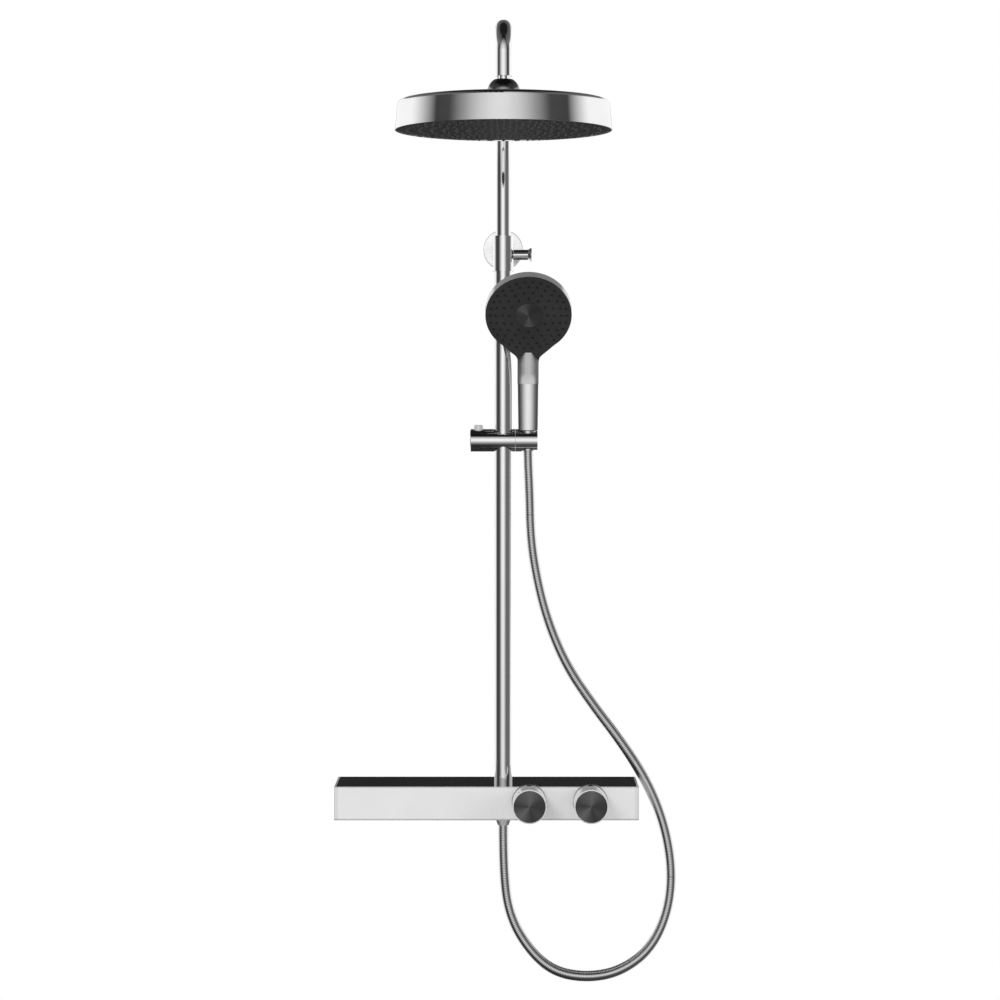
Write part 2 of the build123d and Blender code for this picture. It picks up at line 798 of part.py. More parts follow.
def wall_bracket():
    """Arm from the wall plate's boss to a sleeve with a cap, which holds the top of the lower riser."""
    boss_end = wall_plate_thickness + wall_plate_boss_length
    arm = rod(bracket_arm_radius, wall_plate_thickness + fit_gap, riser_out)
    arm = arm - rod(wall_plate_boss_radius + fit_gap, wall_plate_thickness, boss_end + fit_gap)
    bracket = facing_room(riser_x, 0, bracket_z, arm)
    bracket = bracket + upright(riser_x, riser_y, rod(sleeve_radius, sleeve_bottom, sleeve_top))
    bore = rod(lower_riser_radius + fit_gap, sleeve_bottom, lower_riser_top + fit_gap)
    bore = bore + rod(upper_riser_radius + free_gap, sleeve_bottom, sleeve_top)
    bracket = bracket - upright(riser_x, riser_y, bore)
    return bracket - set_screw_hole(set_screw_radius + running_gap)


def set_knob():
    """Thumb screw in the sleeve's side: a neck with a flared end, and a screw that reaches the upper tube."""
    start = sleeve_radius + free_gap
    end = start + set_knob_length
    flare = end - set_knob_flare_length
    screw = lathe(
        (0, upper_riser_radius + free_gap),
        (set_screw_radius, upper_riser_radius + free_gap),
        (set_screw_radius, start),
        (set_knob_radius, start),
        (set_knob_radius, flare),
        (set_knob_flare_radius, end - set_knob_flare_rim),
        (set_knob_flare_radius, end - set_knob_bevel),
        (set_knob_flare_radius - set_knob_bevel, end),
        (0, end),
    )
    return facing_right(riser_x, riser_y, set_knob_z, screw)


# ---- telescopic upper tube ----


def carrier_low():
    """Height of the seal carrier's lower end."""
    return upper_riser_foot + spigot_length - fit_gap - carrier_height


def seal_carrier():
    """Carrier on the upper tube's foot, with two grooves for O-rings and a seat for the tube's spigot."""
    low = carrier_low()
    high = low + carrier_height
    outer = lower_riser_bore - free_gap
    carrier = tube(outer, carrier_bore, low, high)
    carrier = carrier - rod(spigot_radius + running_gap, upper_riser_foot - fit_gap, high)
    for z in o_ring_heights():
        carrier = carrier - tube(outer + overcut, groove_radius(), z - o_ring_wire, z + o_ring_wire)
    return upright(riser_x, riser_y, carrier)


def groove_radius():
    """Radius of the O-ring grooves' floor."""
    return lower_riser_bore - running_gap - 2 * o_ring_wire - o_ring_floor_gap


def o_ring_heights():
    """Heights of the two O-rings."""
    middle = carrier_low() + carrier_height / 2
    return middle - o_ring_spacing / 2, middle + o_ring_spacing / 2


def carrier_o_rings():
    """Two O-rings that just clear the lower riser's bore."""
    radius = lower_riser_bore - running_gap - o_ring_wire
    ring = Torus(radius, o_ring_wire * o_ring_fill)
    return [Pos(riser_x, riser_y, z) * ring for z in o_ring_heights()]


def arm_path():
    """Centre line of the upper tube: up, forward over the bather and down to the rain head."""
    top = mixer_z + arm_rise
    points = [
        (riser_x, riser_y, upper_riser_foot + spigot_length),
        (riser_x, riser_y, top),
        (riser_x, head_y, top),
        (riser_x, head_y, arm_end_z),
    ]
    return FilletPolyline(*points, radius=arm_bend_radius)


def upper_riser():
    """Upper tube and gooseneck arm, one bent tube, with a narrower spigot at its foot."""
    line = arm_path()
    start = line ^ 0
    outer = sweep(start * Circle(upper_riser_radius), path=line)
    bore = sweep(start * Circle(upper_riser_radius - tube_wall), path=line)
    spigot = rod(spigot_radius, upper_riser_foot, upper_riser_foot + spigot_length + 2 * tube_wall)
    way = rod(carrier_bore, upper_riser_foot, upper_riser_foot + spigot_length + 2 * tube_wall)
    return outer - bore + upright(riser_x, riser_y, tube_foot() + spigot - way)


def tube_foot():
    """The step at the upper tube's foot, where the spigot starts."""
    low = upper_riser_foot + spigot_length
    return rod(upper_riser_radius, low, low + 2 * tube_wall)


# ---- rain head ----


def ball_stem():
    """Threaded stem in the arm's end, with a neck and a ball, bored through for the water."""
    stem = rod(upper_riser_radius - tube_wall - fit_gap, arm_end_z, arm_end_z + ball_thread_length)
    stem = stem + rod(ball_neck_radius, ball_z, arm_end_z)
    stem = stem + Pos(0, 0, ball_z) * Sphere(ball_radius)
    stem = stem - rod(ball_bore, ball_z - ball_radius - overcut, arm_end_z + ball_thread_length + overcut)
    return upright(riser_x, head_y, stem)


def on_ball(shape):
    """A shape modelled about the ball's middle, moved there."""
    return Pos(riser_x, head_y, ball_z) * shape


def ball_liner():
    """Upper bearing band on the ball."""
    return on_ball(spherical_band(liner_inner, liner_outer, liner_low, liner_high))


def ball_seal():
    """Lower sealing band on the ball."""
    return on_ball(spherical_band(liner_inner, liner_outer, seal_low, seal_high))


def socket_rim():
    """Height of the rain head's socket rim."""
    return ball_z - socket_rim_below


def ball_collar():
    """Nut that closes the socket over the ball, with a domed top and a mouth that lets the neck tilt."""
    shoulder = socket_rim() + collar_over_rim
    low = shoulder - collar_band
    top = ball_z + collar_top_above
    start, end = Vector(collar_radius, shoulder), Vector(collar_top_radius, top)
    bulge = Vector(end.Y - start.Y, start.X - end.X).normalized() * collar_bulge
    edge = Polyline(end, (0, top), (0, low), (collar_radius, low), start)
    edge = edge + ThreePointArc(start, (start + end) / 2 + bulge, end)
    collar = revolve(Plane.XZ * make_face(edge), Axis.Z)
    collar = collar - rod(socket_radius + fit_gap, low, socket_rim() + fit_gap)
    collar = collar - Pos(0, 0, ball_z) * Sphere(seat_radius)
    throat = ball_z + collar_throat_above
    mouth = lathe((0, throat), (collar_throat_radius, throat), (collar_mouth_radius, top), (0, top))
    return upright(riser_x, head_y, collar - mouth)


def rain_head_shell():
    """Chrome shell: a deep band with a rounded shoulder, a shallow dome and a socket for the ball."""
    low = head_bottom
    shoulder = low + head_band
    crown = shoulder + head_dome
    outer = make_face(
        Polyline((0, low), (head_radius, low), (head_top_radius, shoulder), (0, crown), close=True)
    )
    outer = fillet(outer.vertices().sort_by(Axis.Y)[2:3], head_corner)
    inner = make_face(
        Polyline(
            (0, low - overcut),
            (head_radius - head_wall, low - overcut),
            (head_radius - head_wall, low),
            (head_top_radius - head_wall, shoulder - head_wall),
            (0, crown - head_wall),
            close=True,
        )
    )
    inner = fillet(inner.vertices().sort_by(Axis.Y)[3:4], head_corner - head_wall)
    shell = revolve(Plane.XZ * outer, Axis.Z) - revolve(Plane.XZ * inner, Axis.Z)
    socket_low = ball_z - seat_radius - head_wall
    shell = shell + rod(socket_radius, socket_low, socket_rim())
    shell = shell - Pos(0, 0, ball_z) * Sphere(seat_radius)
    shell = shell - rod(waterway_radius, socket_low - overcut, ball_z)
    return upright(riser_x, head_y, shell)


def nozzle_places():
    """The nozzles' places under the rain head, ring by ring, at an even spacing out to the last."""
    outermost = head_radius - head_wall - mat_margin - nozzle_margin
    places = []
    for ring in range(1, nozzle_rings + 1):
        places = places + ring_of(nozzles_per_ring * ring, outermost * ring / nozzle_rings)
    return places


def rain_head_face():
    """Near-black spray face, with a hole for each nozzle."""
    low = head_bottom + spray_face_recess
    high = low + spray_face_thickness
    taper = head_taper * (high - head_bottom) / (head_band - head_wall)
    face = rod(head_radius - head_wall - taper - fit_gap, low, high)
    hole = rod(nozzle_radius + fit_gap, low - overcut, high + overcut)
    face = face - [place * hole for place in nozzle_places()]
    return upright(riser_x, head_y, face)


def rain_head_nozzles():
    """Silicone mat behind the spray face, with its nozzles through the face."""
    low = head_bottom + spray_face_recess + spray_face_thickness
    tip = low - spray_face_thickness - nozzle_stand
    mat = rod(head_radius - head_wall - mat_margin, low, low + mat_thickness)
    nozzle = lathe(
        (0, tip),
        (nozzle_tip_radius, tip),
        (nozzle_radius, low - spray_face_thickness),
        (nozzle_radius, low + mat_thickness / 2),
        (0, low + mat_thickness / 2),
    )
    mat = mat + [place * nozzle for place in nozzle_places()]
    return upright(riser_x, head_y, mat)


# ---- slider ----


def along_slider(shape):
    """A shape modelled about Z from the riser's axis, laid along the slider."""
    return facing_right(riser_x, riser_y, slider_z, shape)


def on_riser(shape):
    """A shape modelled about Z from the slider's height, moved onto the riser."""
    return Pos(riser_x, riser_y, slider_z) * shape


def slider_liner():
    """Plastic brake ring that slides on the riser inside the slider."""
    return on_riser(tube(liner_outer_radius, liner_inner_radius, -liner_height / 2, liner_height / 2))


def at_release(shape):
    """A shape modelled about Z from the slider's height, moved to the release button."""
    return Pos(riser_x - release_place, riser_y, slider_z) * shape


def release_seat():
    """Height of the release button's lower end, from the slider's axis."""
    return slider_radius - release_depth


def slider_body():
    """Left and middle of the slider: a round bar bored across for the riser, with a well for its button."""
    body = rod(slider_radius, -slider_left + slider_cap_thickness, tilt_seam)
    body = along_slider(body)
    reach = slider_radius + overcut
    body = body - on_riser(rod(lower_riser_radius + slider_bore_gap, -reach, reach))
    groove = liner_height / 2 + fit_gap
    body = body - on_riser(rod(liner_outer_radius + running_gap, -groove, groove))
    floor = release_seat() - release_travel - free_gap
    body = body - at_release(rod(release_radius + running_gap, floor, reach))
    well_radius = release_spring_radius + spring_well_gap
    spring_well = rod(well_radius, release_seat() - release_spring_length, reach)
    body = body - at_release(spring_well)
    thread = rod(pivot_thread_radius + fit_gap / 2, tilt_seam - pivot_thread_length - fit_gap, tilt_seam)
    return body - along_slider(thread)


def slider_end_cap():
    """Disc that closes the slider's left end."""
    end = -slider_left
    return along_slider(
        lathe(
            (0, end),
            (slider_radius - bevel, end),
            (slider_radius, end + bevel),
            (slider_radius, end + slider_cap_thickness),
            (0, end + slider_cap_thickness),
        )
    )


def release_button():
    """Round button on top of the slider's left end."""
    top = slider_radius + release_stand
    button = lathe(
        (0, release_seat()),
        (release_radius, release_seat()),
        (release_radius, top),
        (0, top),
    )
    return at_release(fillet(rim_edge(button), release_round))


def release_spring():
    """The release button's return spring."""
    low = release_seat() - release_spring_length
    return at_release(coil(release_spring_radius, low, release_seat()))


def holder_screw():
    """Shoulder screw that the holder tilts on."""
    shoulder = tilt_seam + free_gap / 2
    head = shoulder + pivot_shoulder_length
    screw = rod(pivot_thread_radius, tilt_seam - pivot_thread_length, shoulder)
    screw = screw + rod(pivot_shoulder_radius, shoulder, head)
    screw = screw + rod(pivot_head_radius, head, head + pivot_head_height)
    return along_slider(screw)


def cone_radius(height):
    """The cone nut's outer radius at a height."""
    share = (height - cone_bottom) / (cone_top - cone_bottom)
    return cone_bottom_radius + (cone_top_radius - cone_bottom_radius) * share


def hand_shower_holder():
    """Right end of the slider: a conical socket across it, open at its right for the hose to pass."""
    holder = along_slider(rod(slider_radius, holder_start, slider_right))
    low, high = slider_z - slider_radius - overcut, slider_z + slider_radius + overcut
    cone = lathe(
        (0, low),
        (cone_radius(low) + free_gap, low),
        (cone_radius(high) + free_gap, high),
        (0, high),
    )
    holder = holder - upright(socket_x, riser_y, cone)
    half_slot = hose_radius + slot_gap
    slot_end = riser_x + slider_right + overcut
    holder = holder - block((socket_x, riser_y - half_slot, low), (slot_end, riser_y + half_slot, high))
    notch = rod(handle_foot_radius + free_gap, slider_z + socket_notch, high)
    holder = holder - upright(socket_x, riser_y, notch)
    head = tilt_seam + free_gap / 2 + pivot_shoulder_length
    holder = holder - along_slider(rod(pivot_shoulder_radius + running_gap, 0, head))
    return holder - along_slider(rod(pivot_head_radius + free_gap, head - fit_gap, socket_reach))


# ---- hand shower ----

up_neck = Vector(0, -sin(radians(face_tilt)), cos(radians(face_tilt)))
out_of_face = Vector(0, -cos(radians(face_tilt)), -sin(radians(face_tilt)))
bend = Vector(socket_x, riser_y, slider_z + handle_bend_above)
face_middle = bend + up_neck * neck_length + out_of_face * neck_radius
face_plane = Plane(origin=face_middle, x_dir=(1, 0, 0), z_dir=out_of_face)
handle_seam = handle_bottom + sleeve_length
rim_back = -face_thickness - rim_height
mat_back = -face_thickness - mat_thickness
well_floor = mat_back - select_travel - free_gap


def on_face(shape):
    """A shape modelled about Z, laid on the spray face with its +Z out of the face."""
    return face_plane * shape


def along_neck(radius, end):
    """A round bar along the neck's centre line, from the handle's seam towards the face's middle."""
    seam = Vector(socket_x, riser_y, handle_seam)
    line = FilletPolyline(seam, bend, bend + up_neck * (neck_length - end), radius=handle_bend_radius)
    return sweep((line ^ 0) * Circle(radius), path=line)


def flares():
    """Outline of the two flares that lead from the face's disc to the neck's sides."""
    across_disc = Vector(flare_points[0][1], -flare_points[0][0])
    right = Spline(*flare_points, tangents=[across_disc.normalized(), (0, -1)])
    edges = [right, mirror(right, Plane.YZ)]
    for side in (-1, 1):
        foot = (side * flare_points[-1][0], flare_points[-1][1])
        notch = (side * flare_notch[0], flare_notch[1])
        top = (side * flare_points[0][0], flare_points[0][1])
        edges = edges + [Polyline(foot, notch, (0, flare_top)), Line((0, flare_top), top)]
    outlines = [make_face(Curve() + edges[0:1] + edges[4:6]), make_face(Curve() + edges[1:2] + edges[2:4])]
    return outlines[0] + outlines[1] - Circle(face_radius)


def select_well():
    """The well that the select button travels in."""
    return on_face(rod(select_radius + running_gap, well_floor, face_thickness))


def dome(outer, wall, front):
    """The head's domed back from its rim, thinned by a wall thickness and open at the front."""
    return lathe(
        (0, front),
        (outer, front),
        (outer, rim_back),
        (dome_shoulder_radius - wall, -dome_shoulder_depth + wall),
        (dome_back_radius - wall, -dome_back_depth + wall),
        (0, -dome_back_depth + wall),
    )


def hand_shower_shell():
    """Back of the hand shower: a hollow domed head, the neck with its two flares, and the handle's core."""
    inside_rim = face_radius - rim_wall - fit_gap
    head = dome(face_radius - fit_gap, 0, mat_back) - tube(face_radius, inside_rim, rim_back, mat_back)
    chamber = dome(inside_rim - dome_wall, dome_wall, mat_back)
    chamber = chamber - rod(select_radius + boss_wall, -dome_back_depth, face_thickness)
    web = Pos(0, 0, -face_thickness - web_depth) * extrude(flares(), web_depth)
    in_front = rod(face_radius + fit_gap, -face_thickness, face_thickness)
    in_front = in_front + rod(inside_rim, mat_back, face_thickness)
    shell = along_neck(neck_radius, dome_back_radius) - on_face(in_front)
    shell = shell + on_face(head + web)
    shell = shell - on_face(chamber) - along_neck(handle_bore, select_radius + boss_wall + handle_bore)
    core = rod(handle_core_radius, handle_bottom, handle_seam)
    core = core + rod(half_inch_thread_radius, handle_bottom - cone_thread, handle_bottom)
    way = rod(handle_bore, handle_bottom - cone_thread, handle_seam)
    return shell + upright(socket_x, riser_y, core - way) - select_well()


def handle_sleeve():
    """Grip sleeve round the lower handle, a little thicker towards the neck."""
    bore = handle_core_radius + fit_gap
    ring = lathe(
        (bore, handle_bottom),
        (handle_foot_radius - fine_bevel, handle_bottom),
        (handle_foot_radius, handle_bottom + fine_bevel),
        (handle_seam_radius, handle_seam),
        (bore, handle_seam),
    )
    return upright(socket_x, riser_y, ring)


def hand_shower_rim():
    """Chrome ring round the head behind the spray face, open where the neck passes."""
    ring = on_face(tube(face_radius, face_radius - rim_wall, rim_back, -face_thickness))
    return ring - along_neck(neck_radius + fit_gap, dome_back_radius)


def hand_shower_face():
    """Near-black spray face: a disc with two flares that wrap the neck, bored for nozzles and button."""
    disc = Pos(0, 0, -face_thickness) * Cylinder(
        face_radius, face_thickness, align=(Align.CENTER, Align.CENTER, Align.MIN)
    )
    hole = rod(hand_nozzle_radius + fit_gap, -face_thickness - overcut, overcut)
    disc = disc - [place * hole for place in hand_nozzle_places()]
    arms = on_face(Pos(0, 0, -face_thickness) * extrude(flares(), face_thickness))
    arms = arms - along_neck(neck_radius + fit_gap, dome_back_radius)
    return on_face(disc) + arms - select_well()


def hand_nozzle_places():
    """The nozzles' places on the hand shower, ring by ring."""
    places = []
    for radius, count in zip(hand_nozzle_rings, hand_nozzle_counts):
        places = places + ring_of(count, radius)
    return places


def hand_shower_nozzles():
    """Silicone mat behind the hand shower's face, with its nozzles through the face."""
    mat = tube(face_radius - rim_wall - fit_gap, select_radius + select_gap, mat_back, -face_thickness)
    nozzle = rod(hand_nozzle_radius, mat_back + mat_thickness / 2, hand_nozzle_stand)
    return on_face(mat + [place * nozzle for place in hand_nozzle_places()])


def select_button():
    """Round button in the middle of the spray face."""
    button = lathe(
        (0, mat_back),
        (select_radius, mat_back),
        (select_radius, select_stand - fine_bevel),
        (select_radius - fine_bevel, select_stand),
        (0, select_stand),
    )
    return on_face(button)


def hose_cone_nut():
    """Conical nut that joins the hose to the hand shower and sits in the holder's socket."""
    thread_end = cone_top - cone_thread
    nut = lathe(
        (hose_bore, cone_bottom),
        (cone_bottom_radius, cone_bottom),
        (cone_top_radius, cone_top),
        (hose_bore, cone_top),
    )
    nut = nut - rod(half_inch_thread_radius + running_gap, thread_end, cone_top)
    return upright(socket_x, riser_y, nut)


# ---- hose ----


def hose_nut():
    """Nut that joins the hose to the mixer's outlet, tapering to the hose."""
    cone_start = hose_nut_bottom + hose_nut_cone
    nut = lathe(
        (hose_bore, hose_nut_bottom),
        (hose_nut_neck_radius, hose_nut_bottom),
        (hose_nut_radius, cone_start),
        (hose_nut_radius, hose_nut_top),
        (hose_bore, hose_nut_top),
    )
    thread = rod(half_inch_thread_radius + fit_gap, outlet_end - fit_gap, hose_nut_top)
    return upright(riser_x, riser_y, nut - thread)


def hose_route():
    """The hose's route from the cone nut to the hose nut, and the radius of its bend at each inner point."""
    start, end = (socket_x, riser_y, cone_bottom), (riser_x, riser_y, hose_nut_bottom)
    hanging = [(riser_x + x, y, z) for x, y, z in hose_points]
    points = [Vector(p) for p in [start] + hanging + [end]]
    radii = []
    for before, here, after in zip(points, points[1:], points[2:]):
        shorter = min((here - before).length, (after - here).length)
        turn = (here - before).get_angle(after - here)
        radii.append(bend_share * shorter / tan(radians(turn) / 2))
    return points, radii


def hose():
    """The hose, a plain tube along straight runs and tangent arcs."""
    points, radii = hose_route()
    line = FilletPolyline(*points, radius=radii)
    solid = sweep((line ^ 0) * Circle(hose_radius), path=line)
    ratio = solid.volume / (pi * hose_radius**2 * line.length)
    print("hose length", round(line.length, 1), "volume ratio", round(ratio, 5))
    print("hose bend radii", [round(r) for r in radii])
    return solid


# ---- all the pieces ----


def build():
    return {
        "inlet_unions": inlet_unions(),
        "wall_rosettes": wall_rosettes(),
        "union_nuts": union_nuts(),
        "filter_washers": filter_washers(),
        "check_valves": check_valves(),
        "valve_body": valve_body(),
        "mixer_housing": mixer_housing(),
        "shelf_plate": shelf_plate(),
        "rear_cover": rear_cover(),
        "left_end_cap": end_cap(-1),
        "right_end_cap": end_cap(1),
        "housing_screws": housing_screws(),
        "knob_base_rings": knob_base_rings(),
        "flow_cartridge": cartridge(flow_x),
        "flow_spindle": spindle(flow_x),
        "flow_knob": knob(flow_x),
        "flow_knob_face": knob_face(flow_x),
        "flow_stop_button": stop_button(flow_x),
        "flow_stop_spring": stop_spring(flow_x),
        "thermostat_cartridge": cartridge(temperature_x),
        "temperature_spindle": spindle(temperature_x),
        "temperature_knob": knob(temperature_x),
        "temperature_knob_face": knob_face(temperature_x),
        "temperature_stop_button": stop_button(temperature_x),
        "temperature_stop_spring": stop_spring(temperature_x),
        "hose_outlet": hose_outlet(),
        "riser_connector": riser_connector(),
        "lower_riser": lower_riser(),
        "guide_bush": guide_bush(),
        "wall_plate": wall_plate(),
        "wall_screws": wall_screws(),
        "wall_escutcheon": wall_escutcheon(),
        "wall_bracket": wall_bracket(),
        "set_knob": set_knob(),
        "seal_carrier": seal_carrier(),
        "carrier_o_rings": carrier_o_rings(),
        "upper_riser": upper_riser(),
        "ball_stem": ball_stem(),
        "ball_liner": ball_liner(),
        "ball_seal": ball_seal(),
        "ball_collar": ball_collar(),
        "rain_head_shell": rain_head_shell(),
        "rain_head_face": rain_head_face(),
        "rain_head_nozzles": rain_head_nozzles(),
        "slider_liner": slider_liner(),
        "slider_body": slider_body(),
        "slider_end_cap": slider_end_cap(),
        "release_button": release_button(),
        "release_spring": release_spring(),
        "holder_screw": holder_screw(),
        "hand_shower_holder": hand_shower_holder(),
        "hand_shower_shell": hand_shower_shell(),
        "handle_sleeve": handle_sleeve(),
        "hand_shower_rim": hand_shower_rim(),
        "hand_shower_face": hand_shower_face(),
        "hand_shower_nozzles": hand_shower_nozzles(),
        "select_button": select_button(),
        "hose_cone_nut": hose_cone_nut(),
        "hose": hose(),
        "hose_nut": hose_nut(),
    }


os.makedirs("parts", exist_ok=True)
for name, shape in build().items():
    if isinstance(shape, list):
        shape = Compound(children=[piece.solid() for piece in shape])
    export_step(shape, f"parts/{name}.step")
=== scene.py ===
import json
from math import cos, pi, radians, sin

import bmesh
import bpy
import numpy as np
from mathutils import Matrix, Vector


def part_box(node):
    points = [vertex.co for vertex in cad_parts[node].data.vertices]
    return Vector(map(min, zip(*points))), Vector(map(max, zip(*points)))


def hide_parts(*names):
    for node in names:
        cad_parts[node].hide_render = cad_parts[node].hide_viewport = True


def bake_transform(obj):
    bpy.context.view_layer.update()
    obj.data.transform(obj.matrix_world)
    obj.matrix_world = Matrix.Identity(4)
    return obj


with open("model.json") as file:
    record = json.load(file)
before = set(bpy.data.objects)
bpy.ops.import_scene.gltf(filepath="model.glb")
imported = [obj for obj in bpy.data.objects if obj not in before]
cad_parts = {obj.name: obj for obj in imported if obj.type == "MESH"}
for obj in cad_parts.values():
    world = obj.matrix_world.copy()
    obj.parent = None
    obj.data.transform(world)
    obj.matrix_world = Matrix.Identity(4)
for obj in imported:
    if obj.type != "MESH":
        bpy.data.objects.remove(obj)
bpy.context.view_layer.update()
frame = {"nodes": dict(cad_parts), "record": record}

nodes = frame["nodes"]
scene = bpy.context.scene
scene.view_settings.view_transform = "Standard"

# ---- camera ----
lens = bpy.data.cameras.new("camera")
lens.sensor_width = 36.0
lens.lens = 96.3
lens.shift_y = -0.095
lens.clip_end = 100.0
camera = bpy.data.objects.new("camera", lens)
camera.location = (0.0177, -3.628, 0.529)
camera.rotation_euler = (pi / 2, 0, 0)
scene.collection.objects.link(camera)
scene.camera = camera


# ---- node helpers ----
class Graph:
    """A node tree that is built link by link."""

    def __init__(self, tree):
        self.tree = tree
        self.tree.nodes.clear()

    def add(self, kind, inputs=None, **settings):
        """A node whose inputs are sockets to link or values to set."""
        node = self.tree.nodes.new(kind)
        for key, value in settings.items():
            setattr(node, key, value)
        for key, value in (inputs or {}).items():
            socket = node.inputs[key]
            if isinstance(value, bpy.types.NodeSocket):
                self.tree.links.new(value, socket)
            else:
                socket.default_value = value
        return node

    def math(self, operation, *values):
        return self.add("ShaderNodeMath", dict(enumerate(values)), operation=operation).outputs[0]

    def vector(self, operation, *values, out=0):
        return self.add("ShaderNodeVectorMath", dict(enumerate(values)), operation=operation).outputs[out]

    def mix(self, share, first, second):
        inputs = {0: share, 2: first, 3: second}
        return self.add("ShaderNodeMix", inputs, data_type="FLOAT").outputs[0]

    def ramp(self, factor, stops):
        """Greys or colours at places from 0 to 1."""
        node = self.add("ShaderNodeValToRGB", {"Fac": factor})
        elements = node.color_ramp.elements
        while len(elements) < len(stops):
            elements.new(0.5)
        for element, (place, tone) in zip(elements, sorted(stops)):
            element.position = place
            element.color = (*tone, 1.0) if hasattr(tone, "__len__") else (tone, tone, tone, 1.0)
        return node.outputs["Color"]

    def noise(self, place, scale, detail=2.0, roughness=0.5):
        inputs = {"Vector": place, "Scale": scale, "Detail": detail, "Roughness": roughness}
        return self.add("ShaderNodeTexNoise", inputs).outputs[0]

    def spread(self, value, low, high, new_low, new_high):
        """A value that runs from new_low to new_high while another runs from low to high."""
        inputs = {0: value, 1: low, 2: high, 3: new_low, 4: new_high}
        return self.add("ShaderNodeMapRange", inputs).outputs[0]


# ---- studio: world, lamps and floor ----
def studio_world():
    """White behind the object; for reflections, a white card in front, dark flanks and white beyond them.

    Turns and rises are in degrees, from straight in front of the object.
    """
    soft_light = 0.62
    card_left = 4.0
    card_size = 100.0
    level = (5.1, 5.9)
    world = bpy.data.worlds.new("studio")
    scene.world = world
    world.use_nodes = True
    g = Graph(world.node_tree)
    way = g.add("ShaderNodeTexCoord").outputs["Generated"]
    parts = g.add("ShaderNodeSeparateXYZ", {0: way}).outputs
    ahead = g.math("MULTIPLY", parts[1], -1.0)
    turn = g.math("DEGREES", g.math("ARCTAN2", parts[0], ahead))
    round_about = g.math("ABSOLUTE", turn)
    rise = g.math("DEGREES", g.math("ARCSINE", parts[2]))
    right = g.math("GREATER_THAN", parts[0], 0.0)
    raised = g.spread(rise, *level, 0.0, 1.0)
    # a soft oval card in front, a little to the left, wider above than below
    aside = g.math("DIVIDE", g.math("ADD", turn, card_left), g.spread(raised, 0.0, 1.0, 0.76, 1.0))
    above = g.math("MULTIPLY", rise, 1.3)
    off = g.math("SQRT", g.math("ADD", g.math("MULTIPLY", aside, aside), g.math("MULTIPLY", above, above)))
    front = g.ramp(g.math("DIVIDE", off, card_size), [
        (0.0, 1.0), (0.10, 0.96), (0.21, 0.79), (0.32, 0.57),
        (0.43, 0.33), (0.55, 0.12), (0.63, 0.02), (0.7, 0.0),
    ])
    front = g.math("MULTIPLY", front, g.spread(rise, -22.0, 2.0, 0.60, 1.0))
    # white beyond the flanks, from nearer above the camera's height than below it
    start = g.math("ADD", g.spread(right, 0.0, 1.0, 77.0, 72.5), g.spread(raised, 0.0, 1.0, 8.0, 0.0))
    past = g.math("DIVIDE", g.math("SUBTRACT", round_about, start), g.spread(right, 0.0, 1.0, 40.0, 31.0))
    beyond = g.ramp(past, [
        (0.0, 0.0), (0.01, 0.05), (0.2, 0.26), (0.39, 0.46), (0.6, 0.68), (0.8, 0.87), (1.0, 1.0),
    ])
    high = g.spread(g.math("ABSOLUTE", rise), 40.0, 52.0, 1.0, 0.0)
    behind = g.spread(round_about, 170.0, 174.0, 1.0, 0.0)
    beyond = g.math("MULTIPLY", g.math("MULTIPLY", beyond, high), behind)
    beyond = g.math("MULTIPLY", beyond, g.spread(rise, 17.0, 24.0, 1.0, 0.0))
    # the flanks, lighter above at the sides than in front and below
    low_dark = g.spread(right, 0.0, 1.0, 0.055, 0.14)
    dark = g.mix(raised, low_dark, 0.026)
    sideways = g.spread(round_about, 25.0, 50.0, 0.0, 1.0)
    upper = g.math("MULTIPLY", g.spread(rise, 12.0, 26.0, 0.0, 0.20), sideways)
    dark = g.math("ADD", dark, g.math("MULTIPLY", upper, g.spread(rise, 45.0, 60.0, 1.0, 0.0)))
    dark = g.math("MULTIPLY", dark, g.spread(g.math("ABSOLUTE", rise), 12.0, 40.0, 1.0, 0.45))
    tone = g.math("MAXIMUM", dark, g.math("MAXIMUM", front, beyond))
    path = g.add("ShaderNodeLightPath").outputs
    shining = g.math("MAXIMUM", path["Is Glossy Ray"], path["Is Transmission Ray"])
    paper = (1, 1, 1, 1)
    soft = g.add("ShaderNodeBackground", {"Color": paper, "Strength": soft_light})
    shown = g.add("ShaderNodeBackground", {"Color": paper, "Strength": tone})
    white = g.add("ShaderNodeBackground", {"Color": paper, "Strength": 1.0})
    mixed = g.add("ShaderNodeMixShader", {0: shining, 1: soft.outputs[0], 2: shown.outputs[0]})
    mixed = g.add("ShaderNodeMixShader", {0: path["Is Camera Ray"], 1: mixed.outputs[0], 2: white.outputs[0]})
    g.add("ShaderNodeOutputWorld", {"Surface": mixed.outputs[0]})


def lamp(name, place, aim, size, power):
    """A soft area lamp that the polished parts don't mirror."""
    data = bpy.data.lights.new(name, "AREA")
    data.shape = "DISK"
    data.size = size
    data.energy = power
    obj = bpy.data.objects.new(name, data)
    obj.location = place
    obj.rotation_euler = (Vector(aim) - Vector(place)).to_track_quat("-Z", "Y").to_euler()
    obj.visible_glossy = False
    scene.collection.objects.link(obj)


